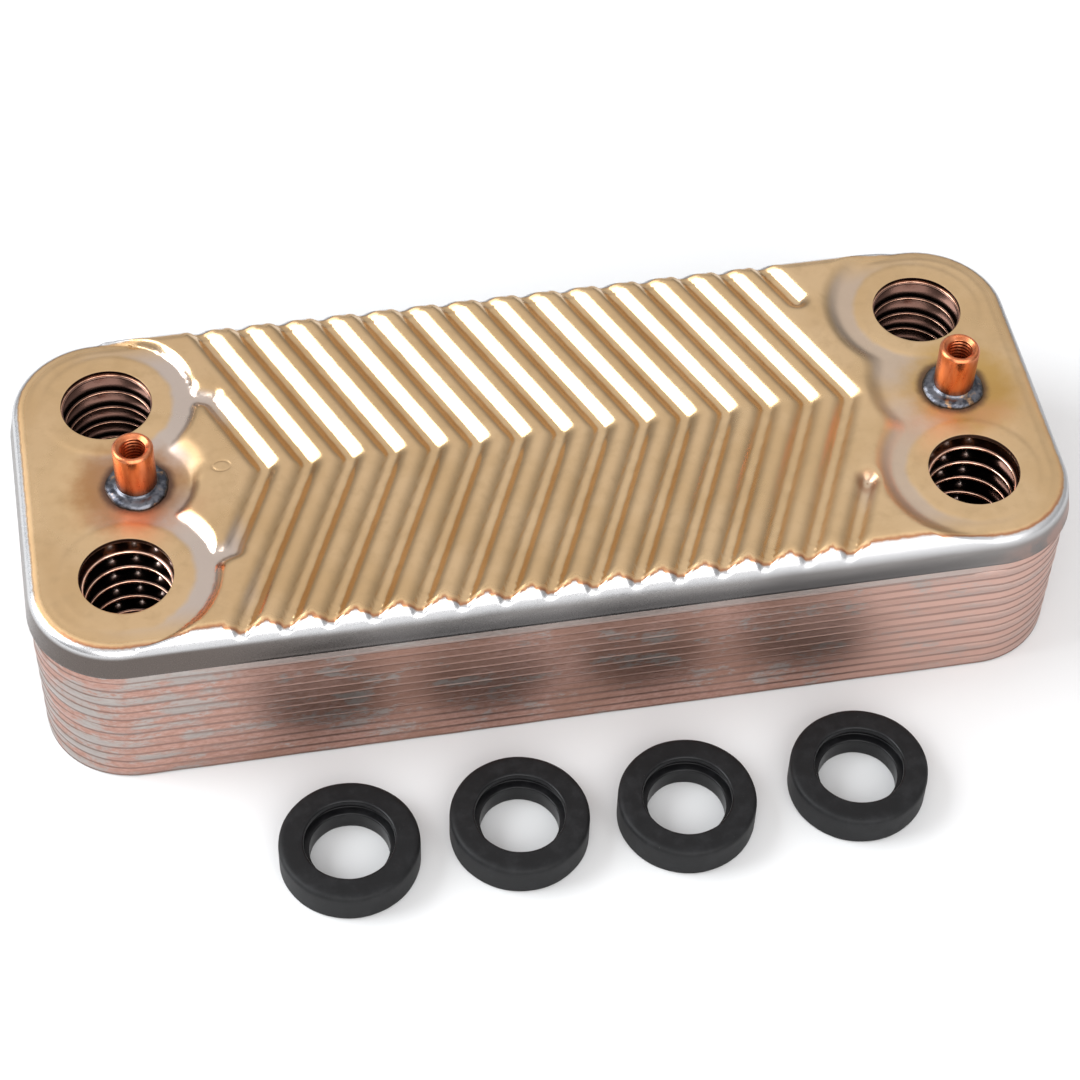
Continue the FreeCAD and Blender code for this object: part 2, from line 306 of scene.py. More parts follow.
def front_height(x, y, inset):
    """The front plate's outer surface: its relief rolled over into the shoulder."""
    relief = front_relief(x, y)
    reach = np.clip(SHOULDER_INSET - inset, 0, SHOULDER)
    arc = SHOULDER_HEIGHT + np.sqrt(np.maximum(SHOULDER ** 2 - reach ** 2, 0))
    blend = 3.0 * np.clip(1 - relief / PRESS_DEPTH, 0, 1)
    return soft_min(relief, arc, blend * smooth((SHOULDER_INSET + 1.2 - inset) / 2.6))


def front_marks(x, y, inset, z):
    """Signed distances that the front plate's finish follows."""
    relief = front_relief(x, y)
    port = np.full(np.shape(x), 99.0)
    for px, py in PORTS:
        port = np.minimum(port, np.hypot(x - px, y - py))
    stud = np.minimum(np.hypot(x - STUDS["left"], y), np.hypot(x - STUDS["right"], y))
    crest = np.clip(relief - SHOULDER_HEIGHT, 0, SHOULDER)
    rolled = SHOULDER_INSET - np.sqrt(SHOULDER ** 2 - crest ** 2)
    edge = inset - soft_min(rolled + 0.6, 2.3, 0.5) - 0.6 * smooth((relief - 1.66) / 0.09)
    tip = np.hypot(x - LAST_APEX + SLANT * abs(FRONT_STUB_Y), y - FRONT_STUB_Y)
    return {"port": port, "stud": stud, "edge": edge, "relief": relief, "drop": z,
            "tip": tip, "dull": np.exp(-(((x + 64.5) ** 2 + (y - 5.5) ** 2) / 9.0))}


def front_plate(material):
    """The thick pressed plate: relief, shoulder, flange, port holes and its plain underside."""
    base, normals = outline(FRONT, 0.5)
    n = len(base)
    s = Surface()

    def ring(inset, z):
        xy = base - normals * np.reshape(inset, (-1, 1))
        given = np.broadcast_to(np.asarray(inset, float), (n,))
        return s.add(lift(xy, z), **front_marks(xy[:, 0], xy[:, 1], given, z))

    # flange, from the lip upwards
    lip = ((0.45, -0.02), (0.12, 0.0), (0.0, 0.16))
    rings = [ring(inset, FRONT_EDGE + rise) for inset, rise in lip]
    flange_top = SHOULDER_HEIGHT + SHOULDER * math.sin(math.atan(FLARE))
    for z in np.linspace(FRONT_EDGE + 0.6, flange_top - 0.5, 7):
        wobble = waves(base[:, 0], base[:, 1] + z * 3, 5, 0.02, 14, 45)
        rings.append(ring((z - FRONT_EDGE) * FLARE + wobble, z))
    tilts = np.radians(np.linspace(math.degrees(math.atan(FLARE)), 48, 8))
    for tilt in tilts[:-1]:
        inset = SHOULDER_INSET - SHOULDER * math.cos(tilt)
        xy = base - normals * inset
        z = front_height(xy[:, 0], xy[:, 1], inset)
        rings.append(ring(inset, z))
    for lower, upper in zip(rings, rings[1:]):
        s.band(lower, upper)
    rim_inset = SHOULDER_INSET - SHOULDER * math.cos(tilts[-1])

    # top surface
    parts = [base - normals * rim_inset]
    for tilt in np.radians(np.arange(53, 87, 5.5)):
        parts.append(base - normals * (SHOULDER_INSET - SHOULDER * math.cos(tilt)))
    parts += [base - normals * (SHOULDER_INSET + d) for d in (0.0, 0.45)]
    hole_count = 110
    holes = [circle(x, y, PORT_RADIUS + 0.05, hole_count) for x, y in PORTS]
    around = [circle(x, y, r, hole_count) for x, y in PORTS for r in (8.8, 9.25)]
    fill = clear_of_ports(grid(FRONT, SHOULDER_INSET + 0.8, 0.54), 9.6)
    mark = np.hypot((fill[:, 0] - EMBOSS_X) / EMBOSS_LONG, (fill[:, 1] - EMBOSS_Y) / EMBOSS_SHORT)
    oval = [circle(0, 0, k, 36) * (EMBOSS_LONG, EMBOSS_SHORT) + (EMBOSS_X, EMBOSS_Y)
            for k in (0.45, 0.65, 0.78, 0.89, 1.0, 1.11, 1.22, 1.38)]
    fill = np.concatenate([fill[mark > 1.55]] + oval)
    points = np.concatenate(parts[:1] + holes + parts[1:] + around + [fill])
    rim = np.arange(n)
    loops = [n + i * hole_count + np.arange(hole_count) for i in range(4)]
    triangles = triangulated(points, [rim] + loops, loops)
    inset = inset_of(points[:, 0], points[:, 1], FRONT)
    z = front_height(points[:, 0], points[:, 1], inset)
    top = s.add(lift(points, z), **front_marks(points[:, 0], points[:, 1], inset, z))
    s.faces += top[triangles].tolist()
    s.band(rings[-1], top[rim])

    # underside: the same outline and holes, moved in by the sheet, with a coarser middle
    inner = SHOULDER - FRONT_SHEET
    under_rim = base - normals * (SHOULDER_INSET - inner * math.cos(tilts[-1]))
    drop = (SHOULDER - inner) * math.sin(tilts[-1])
    under_fill = clear_of_ports(grid(FRONT, SHOULDER_INSET - 0.6, 1.5), 9.5)
    under = np.concatenate([under_rim] + holes + [under_fill])
    under_triangles = triangulated(under, [rim] + loops, loops)
    u_inset = inset_of(under[:, 0], under[:, 1], FRONT)
    uz = front_height(under[:, 0], under[:, 1], u_inset) - FRONT_SHEET
    uz[:n] = z[:n] - drop
    below = s.add(lift(under, uz), **front_marks(under[:, 0], under[:, 1], u_inset, uz))
    s.faces += below[under_triangles[:, ::-1]].tolist()

    # inside of the flange
    inside = [rings[0]]
    for zi in np.linspace(FRONT_EDGE + 0.3, flange_top - 0.3, 4):
        inside.append(ring(FRONT_SHEET + (zi - FRONT_EDGE) * FLARE, zi))
    for tilt in tilts[1:-1:2]:
        inset_i = SHOULDER_INSET - inner * math.cos(tilt)
        inside.append(ring(inset_i, SHOULDER_HEIGHT + inner * math.sin(tilt)))
    for lower, upper in zip(inside, inside[1:]):
        s.band(lower, upper, flip=True)
    s.band(inside[-1], below[rim], flip=True)

    # walls of the port holes
    for (x, y), loop in zip(PORTS, loops):
        level = z[loop].mean()
        previous = top[loop]
        for r, dz in ((0.015, 0.012), (0.0, 0.05), (0.0, 0.45), (0.0, 0.83), (0.05, 0.92)):
            xy = circle(x, y, PORT_RADIUS + r, hole_count)
            marks = front_marks(xy[:, 0], xy[:, 1], 20.0, level)
            # the wall mark makes the finish paint these hole walls dark brown, a painted shade
            marks["wall"] = 1.0
            current = s.add(lift(xy, level - dz), **marks)
            s.band(current, previous, flip=True)
            previous = current
        s.band(below[loop], previous, flip=True)
    s.shift(0, 0, PORT_PLANE)
    return s.build("front_plate_steel", material, "exchanger", ["front_plate"])


def tray_relief(x, y, collar):
    """Height of a channel plate above its low level: high round the rear ports, low round the front."""
    apexes = [FIRST_APEX + i * CHEVRON_PITCH for i in range(-1, GROOVES + 2)]
    z = pressed((arm_distance(x, y, apexes) - 0.86) / 1.9)
    for side, up in ((1, True), (-1, False)):
        distance = np.maximum(66.0 - np.abs(x), -side * y)
        for px in (-PORT_X, PORT_X):
            disc = np.hypot(x - px, y - side * PORT_Y) - TRAY_ZONE
            distance = np.minimum(distance, disc)
        rise = PRESS_DEPTH * smooth(distance / 1.4)
        z = np.maximum(z, PRESS_DEPTH - rise) if up else np.minimum(z, rise)
    for px in (-PORT_X, PORT_X):
        r, outward = low_port(x, y, px)
        funnel = smooth((r - 8.7) / 3.4) * (1 - smooth((r - 13.2) / 2.0))
        z = z + collar * funnel * smooth((outward + 0.4) / 0.5)
    return z + dimples(x, y)


def low_port(x, y, px):
    """Distance from a low port's centre and how far the direction points away from the middle."""
    dx, dy = x - px, y + PORT_Y
    r = np.maximum(np.hypot(dx, dy), 1e-6)
    return r, (dx * math.copysign(0.55, px) - dy * 0.835) / r


def dimples(x, y):
    """Round bosses that hold the plates apart on the open side of each low port."""
    total = np.zeros(np.shape(x))
    for px in (-PORT_X, PORT_X):
        r, outward = low_port(x, y, px)
        angle = np.arctan2(y + PORT_Y, x - px)
        nearest = (angle / DIMPLE_STEP - np.round(angle / DIMPLE_STEP)) * DIMPLE_STEP
        boss = np.exp(-(((r - DIMPLE_RING) ** 2 + (nearest * r) ** 2) / 0.85))
        total += boss * (1 - smooth((outward + 0.5) / 0.2))
    return total


def closed_side(x, y):
    """1 on the closed outer side of each low port, 0 elsewhere."""
    best = np.zeros(np.shape(x))
    for px in (-PORT_X, PORT_X):
        r, outward = low_port(x, y, px)
        best = np.maximum(best, smooth((outward + 0.4) / 0.5) * smooth((15.0 - r) / 1.5))
    return best


class Tray:
    """The triangulations that all channel plates share, and a plain one for the back plate."""

    def __init__(self):
        self.base, self.normals = outline(PACK, 1.4)
        n = len(self.base)
        self.top_inset = TRAY_HEIGHT * FLARE + 0.75
        self.hole_count = 84
        radii = (8.25, 8.6, 9.0, 9.4, 9.8, 10.2, 10.6, 11.0, 11.5, 12.1, 12.9)
        holes = [circle(x, y, INNER_PORT_RADIUS, self.hole_count) for x, y in PORTS]
        around = [circle(x, y, r, self.hole_count) for x, y in PORTS for r in radii]
        shoulder = [self.base - self.normals * (self.top_inset + d) for d in (0.35, 0.75, 1.4)]
        first = [self.base - self.normals * self.top_inset]
        self.rim = np.arange(n)
        self.loops = [n + i * self.hole_count + np.arange(self.hole_count) for i in range(4)]
        fill = clear_of_ports(grid(PACK, self.top_inset + 2.2, 1.45), 13.7)
        self.top = np.concatenate(first + holes + shoulder + around + [fill])
        self.top_faces = triangulated(self.top, [self.rim] + self.loops, self.loops)
        coarse = clear_of_ports(grid(PACK, self.top_inset + 1.2, 1.9), 13.7)
        self.low = np.concatenate(first + holes + around + [coarse])
        self.low_faces = triangulated(self.low, [self.rim] + self.loops, self.loops)
        filled = clear_of_ports(grid(PACK, self.top_inset + 2.2, 1.9), 0)
        self.plain = np.concatenate(first + [filled])
        self.plain_faces = triangulated(self.plain, [self.rim])

    def height(self, points, collar):
        x, y = points[:, 0], points[:, 1]
        inset = inset_of(x, y, PACK) - TRAY_HEIGHT * FLARE
        relief = tray_relief(x, y, collar)
        reach = np.clip(TRAY_SHOULDER - inset, 0, TRAY_SHOULDER)
        arc = PRESS_DEPTH - TRAY_SHOULDER + np.sqrt(TRAY_SHOULDER ** 2 - reach ** 2)
        return TRAY_HEIGHT - PRESS_DEPTH + np.minimum(relief, np.where(reach > 0, arc, 9))


def port_distance(x, y):
    best = np.full(np.shape(x), 99.0)
    for px, py in PORTS:
        best = np.minimum(best, np.hypot(x - px, y - py))
    return best


def end_share(x):
    """0 along the middle of the pack, 1 at its corners and ends."""
    return smooth((np.abs(x) - 52) / 26)


def rim_inset(z, share):
    """How far a rim's outer face lies in from the pack's outline: a hooked lip, then the flare."""
    hook = HOOK * smooth((z - 0.08) / 0.32)
    swell = 0.42 * share * smooth(z / 1.7) * (1 - smooth((z - 2.1) / 1.2))
    return z * FLARE + hook - swell


def tray(shape, level, material, name, node):
    """One channel plate, or the back plate at level 0, whose rim nests in the one above."""
    s = Surface()
    end_for_end = level % 2 == 0
    sign = -1 if end_for_end else 1
    base, normals = shape.base, shape.normals
    n = len(base)
    share = end_share(base[:, 0]) if end_for_end else 0 * base[:, 0]
    wobble = waves(base[:, 0], base[:, 1], 100 + level, 0.03, 12, 40)
    edge_lift = 0.05 + waves(base[:, 0], base[:, 1], 200 + level, 0.04, 10, 35)

    def ring(inset, z):
        xy = base - normals * np.reshape(inset + wobble, (-1, 1))
        lifted = z + np.maximum(edge_lift, 0) * max(0.0, 1 - z / 2.5)
        return s.add(
            lift(xy, lifted), rise=z, port=port_distance(xy[:, 0], xy[:, 1]),
            level=float(level), pair=share,
        )

    rings = [ring(0.18, 0.0), ring(0.06, 0.0), ring(0.0, 0.08)]
    for z in (0.16, 0.24, 0.32, 0.4, 0.6, 0.95, 1.3, 1.65, 1.95, 2.25, 2.8, 3.6, 5.0, 6.2):
        rings.append(ring(rim_inset(z, share), z))
    for tilt in np.radians((20, 38, 52)):
        z = TRAY_HEIGHT - TRAY_SHOULDER + TRAY_SHOULDER * math.sin(tilt)
        rings.append(ring(TRAY_HEIGHT * FLARE + TRAY_SHOULDER * (1 - math.cos(tilt)) + 0.1, z))
    for lower, upper in zip(rings, rings[1:]):
        s.band(lower, upper)
    solid = level == 0
    top_points, faces = (shape.plain, shape.plain_faces) if solid else (shape.top, shape.top_faces)
    collar = LOW_COLLAR if level == CHANNEL_COUNT else HIGH_COLLAR
    z = shape.height(sign * top_points, 0.0 if solid else collar)
    marks = {"rise": z, "port": port_distance(top_points[:, 0], top_points[:, 1]),
             "level": float(level)}
    # the dimple mask, which the finish also uses for a painted highlight
    marks["boss"] = 0.0 if solid else dimples(*(sign * top_points.T))
    marks["closed"] = 0.0 if solid else closed_side(*(sign * top_points.T))
    top = s.add(lift(top_points, z), **marks)
    s.faces += top[faces].tolist()
    s.band(rings[-1], top[shape.rim])

    low_points, low_faces = (shape.plain, shape.plain_faces) if solid else (shape.low, shape.low_faces)
    zl = shape.height(sign * low_points, 0.0 if solid else collar) - SHEET
    zl[:n] = z[:n] - SHEET
    marks = {"rise": zl, "port": port_distance(low_points[:, 0], low_points[:, 1]),
             "level": float(level), "closed": 1.0}
    xy = low_points.copy()
    xy[:n] -= normals * 0.2
    below = s.add(lift(xy, zl), **marks)
    s.faces += below[low_faces[:, ::-1]].tolist()
    inside = [rings[0]]
    for zi in (0.2, 1.2, 2.4, 4.0, 6.0, 7.0):
        inside.append(ring(SHEET + rim_inset(zi, share), zi))
    for lower, upper in zip(inside, inside[1:]):
        s.band(lower, upper, flip=True)
    s.band(inside[-1], below[shape.rim], flip=True)
    if not solid:
        for loop in shape.loops:
            s.band(below[loop], top[loop], flip=True)
    s.shift(0, 0, level * PITCH)
    return s.build(name, material, "exchanger", [node])


def seam(shape, level, material):
    """Copper left at a rim's lower edge, and the beads round the two ports sealed there."""
    s = Surface()
    base, normals = shape.base, shape.normals
    top_seam = level == CHANNEL_COUNT
    edge = FRONT_EDGE + PORT_PLANE if top_seam else (level + 1) * PITCH
    offset = (FRONT_LAP if top_seam else PITCH) * FLARE + HOOK
    wobble = waves(base[:, 0], base[:, 1], 300 + level, 0.03, 3, 12)
    profile = [(0.14, 0.10), (0.26, -0.02), (offset - 0.09, -0.12), (offset + 0.12, -0.30),
               (offset + 0.12, 1.2), (0.5, 1.2)]
    rings = []
    for k, (inset, dz) in enumerate(profile):
        extra = wobble if 0 < k < 4 else 0
        rings.append(s.add(lift(base - normals * inset, edge + dz - extra), bead=0.0))
    for a, b in zip(rings, rings[1:] + rings[:1]):
        s.band(b, a)
    bead_z = level * PITCH + TRAY_HEIGHT + BRAZE / 2
    rear = (level + 1) % 2 == 0
    major = (PORT_RADIUS if top_seam else INNER_PORT_RADIUS) + 0.02
    # the rear port beads are thinner and take part of the seams' painted shadow colour
    thickness, brightness = (0.20, 0.45) if rear else (0.33, 1.0)
    if level == 0:
        thickness = 0.2  # too thin to come through the back plate, which has no port holes
    for x, y in PORTS:
        if (y > 0) != rear:
            continue
        count = 96
        a = np.arange(count) * 2 * math.pi / count
        swell = 1 + 0.10 * waves(a * 6, a * 0, int(500 + level * 7 + x), 1.0, 3, 9)
        loops = []
        for k in range(10):
            b = math.pi / 2 + k * 2 * math.pi / 10
            minor = thickness * swell
            r = major + minor * math.cos(b)
            xyz = np.column_stack([x + r * np.cos(a), y + r * np.sin(a), bead_z + minor * math.sin(b)])
            loops.append(s.add(xyz, bead=brightness))
        for p, q in zip(loops, loops[1:] + loops[:1]):
            s.band(p, q, flip=True)
    number = CHANNEL_COUNT + 1 - level
    node = f"braze_seam_{number:02d}"
    return s.build(f"{node}_copper", material, "exchanger", [node])


# ---------------------------------------------------------------- turned pieces
def rounded(points, radii, steps=5):
    """A profile whose corners are rounded by arcs of the given radii."""
    out = []
    count = len(points)
    for i, (p, r) in enumerate(zip(points, radii)):
        p = np.array(p, float)
        before, after = (np.array(points[(i + d) % count], float) for d in (-1, 1))
        u, v = before - p, after - p
        lu, lv = np.linalg.norm(u), np.linalg.norm(v)
        u, v = u / lu, v / lv
        half = math.acos(np.clip(u @ v, -1, 1)) / 2
        if r <= 0 or abs(half - math.pi / 2) < 1e-3:
            out.append(p)
            continue
        cut = min(r / math.tan(half), lu * 0.49, lv * 0.49)
        start, end = p + u * cut, p + v * cut
        for k in range(steps + 1):
            t = k / steps
            out.append((1 - t) ** 2 * start + 2 * t * (1 - t) * p + t * t * end)
    return np.array(out)


def turned(s, profile, segments, closed=False, radius_change=None, height_change=None, **marks):
    """Revolves a profile of radius and height pairs; points on the axis close it."""
    a = np.arange(segments) * 2 * math.pi / segments
    rings = []
    for r, h in profile:
        rr = r + (radius_change(a, r, h) if radius_change else 0)
        hh = h + (height_change(a, r, h) if height_change else 0)
        xyz = np.column_stack([rr * np.cos(a), rr * np.sin(a), np.broadcast_to(hh, a.shape)])
        rings.append(s.add(xyz, height=h, radius=r, **marks))
    following = rings[1:] + (rings[:1] if closed else [])
    for lower, upper in zip(rings, following):
        s.band(lower, upper)
    return rings


def stud(side, x, material):
    """A copper post with a chamfered rim and a cut internal thread."""
    s = Surface()
    top, r = STUD_HEIGHT, STUD_RADIUS
    outer = [(r + 0.02, 0.0), (r, 0.4), (r, 2.0), (r, 4.0), (r, 6.0), (r, 8.0), (r, top - 0.62),
             (r - 0.03, top - 0.5), (r - 0.10, top - 0.38), (r - 0.34, top - 0.09),
             (r - 0.46, top - 0.02), (r - 0.58, top), (2.98, top), (2.88, top - 0.05), (2.46, top - 0.52)]
    rings = turned(s, outer, 96, part=0.0)
    count = 96
    a = np.arange(count) * 2 * math.pi / count
    mouth = top - 0.56
    bottom = top - THREAD_START - THREAD_LENGTH
    previous = rings[-1]
    for h in np.arange(mouth, bottom, -THREAD_PITCH / 8):
        phase = (h / THREAD_PITCH + a / (2 * math.pi)) % 1
        vee = 1 - np.abs(2 * phase - 1)
        run = min(1.0, (mouth - h) / 0.5 + 0.25)
        rr = THREAD_RADIUS + THREAD_DEPTH * vee * run + 0.2 * max(0, 1 - (mouth - h) / 0.3)
        ring = s.add(np.column_stack([rr * np.cos(a), rr * np.sin(a), np.full(count, h)]),
                     height=h, radius=THREAD_RADIUS, part=1.0)
        s.band(previous, ring)
        previous = ring
    s.cap(previous, (0, 0, bottom - 0.9), height=bottom, radius=0.0, part=1.0)
    s.cap(rings[0], (0, 0, 0.0), flip=True, height=0.0, radius=0.0, part=0.0)
    s.shift(x, 0, PORT_PLANE)
    node = f"stud_{side}"
    return s.build(f"{node}_copper", material, "exchanger", [node])


def weld(side, x, material):
    """A rippled fillet bead round the stud's foot."""
    s = Surface()
    phase = 31 if side == "left" else 47

    def uneven(a, r, h):
        grow = (r - STUD_RADIUS) / 2.0
        coarse = 0.12 * np.sin(3 * a + phase) + 0.06 * np.sin(7 * a + 2 * phase)
        return grow * (coarse + 0.02 * np.sin(19 * a))

    def ripple(a, r, h):
        middle = max(0.0, 1 - abs(r - 4.9) / 1.1)
        fine = 0.035 * np.sin(19 * a + 3 * (r - STUD_RADIUS))
        return middle * (fine + 0.10 * np.sin(4 * a + phase))

    profile = [(3.66, 0.02), (5.6, -0.02), (5.72, 0.08), (5.70, 0.24), (5.58, 0.46),
               (5.36, 0.70), (5.06, 0.88), (4.7, 1.0), (4.36, 1.06), (4.06, 1.16),
               (3.86, 1.32), (3.72, 1.54), (3.62, 1.56)]
    turned(s, profile, 168, closed=True, radius_change=uneven, height_change=ripple)
    s.shift(x, 0, PORT_PLANE)
    node = f"stud_weld_{side}"
    return s.build(f"{node}_bead", material, "exchanger", [node])


def seal(number, x, y, material):
    """A moulded rubber ring with a lipped recess."""
    s = Surface()
    points = [(7.1, 0), (12.3, 0), (12.5, 0.4), (12.5, 6.5), (8.1, 6.5), (8.0, 5.5), (8.7, 4.4),
              (8.7, 3.9), (7.1, 3.9)]
    radii = [0.25, 0.15, 0.3, 1.15, 0.45, 0.25, 0.3, 0.2, 0.3]
    profile = rounded(points, radii, 6)
    fine = []
    for p, q in zip(profile, np.roll(profile, -1, 0)):
        pieces = max(1, int(np.linalg.norm(q - p) / 0.7))
        fine += [p + (q - p) * k / pieces for k in range(pieces)]
    phase = number * 1.7

    def uneven(a, r, h):
        return 0.045 * np.sin(2 * a + phase) + 0.015 * np.sin(9 * a + phase * 2)

    def sag(a, r, h):
        return 0.04 * np.sin(3 * a + phase) * h / 6.5

    turned(s, fine, 168, closed=True, radius_change=uneven, height_change=sag)
    s.shift(x, y, 0)
    node = f"port_seal_{number}"
    return s.build(f"{node}_rubber", material, f"seal_{number}", [node])


# ---------------------------------------------------------------- materials
class Finish:
    """A node material around one Principled shader."""

    def __init__(self, name, metallic, roughness=0.3):
        self.material = bpy.data.materials.new(name)
        self.material.use_nodes = True
        self.tree = self.material.node_tree
        self.bsdf = self.tree.nodes["Principled BSDF"]
        self.bsdf.inputs["Metallic"].default_value = metallic
        self.bsdf.inputs["Roughness"].default_value = roughness
        place = self.node("ShaderNodeTexCoord").outputs["Object"]
        inputs = {0: place, "Scale": 1 / MM}
        self.place = self.node("ShaderNodeVectorMath", inputs, operation="SCALE").outputs[0]

    def node(self, kind, inputs=None, **props):
        made = self.tree.nodes.new(kind)
        for key, value in props.items():
            setattr(made, key, value)
        for key, value in (inputs or {}).items():
            socket = made.inputs[key]
            if isinstance(value, bpy.types.NodeSocket):
                self.tree.links.new(value, socket)
            else:
                socket.default_value = value
        return made

    def set(self, name, value):
        socket = self.bsdf.inputs[name]
        if isinstance(value, bpy.types.NodeSocket):
            self.tree.links.new(value, socket)
        else:
            socket.default_value = value

    def mark(self, name):
        return self.node("ShaderNodeAttribute", attribute_name=name).outputs["Fac"]

    def calc(self, operation, a, b=0.0, clamp=False):
        return self.node("ShaderNodeMath", {0: a, 1: b}, operation=operation, use_clamp=clamp).outputs[0]

    def times(self, a, b):
        return self.calc("MULTIPLY", a, b)

    def stray(self, value, noise, amount):
        """The value, moved up and down by a noise around one half."""
        return self.calc("ADD", value, self.times(self.calc("SUBTRACT", noise, 0.5), amount))

    def span(self, value, low, high, start=0.0, end=1.0):
        made = self.node(
            "ShaderNodeMapRange",
            {"Value": value, "From Min": low, "From Max": high, "To Min": start, "To Max": end},
            interpolation_type="SMOOTHSTEP",
        )
        return made.outputs["Result"]

    def stretched(self, x=1.0, y=1.0, z=1.0, move=(0, 0, 0)):
        return self.node(
            "ShaderNodeMapping", {"Vector": self.place, "Scale": (x, y, z), "Location": move}
        ).outputs[0]

    def noise(self, scale, detail=3.0, rough=0.55, vector=None, distortion=0.0):
        made = self.node(
            "ShaderNodeTexNoise",
            {"Vector": vector or self.place, "Scale": scale, "Detail": detail,
             "Roughness": rough, "Distortion": distortion},
        )
        return made.outputs["Fac"]

    def mix(self, share, a, b, blend="MIX"):
        made = self.node("ShaderNodeMix", data_type="RGBA", blend_type=blend)
        for socket, value in ((made.inputs[0], share), (made.inputs[6], a), (made.inputs[7], b)):
            if isinstance(value, bpy.types.NodeSocket):
                self.tree.links.new(value, socket)
            else:
                socket.default_value = (*value, 1.0) if isinstance(value, tuple) else value
        return made.outputs[2]

    def bump(self, height, distance, strength=1.0, under=None):
        inputs = {"Height": height, "Distance": distance * MM, "Strength": strength}
        if under is not None:
            inputs["Normal"] = under
        return self.node("ShaderNodeBump", inputs).outputs[0]


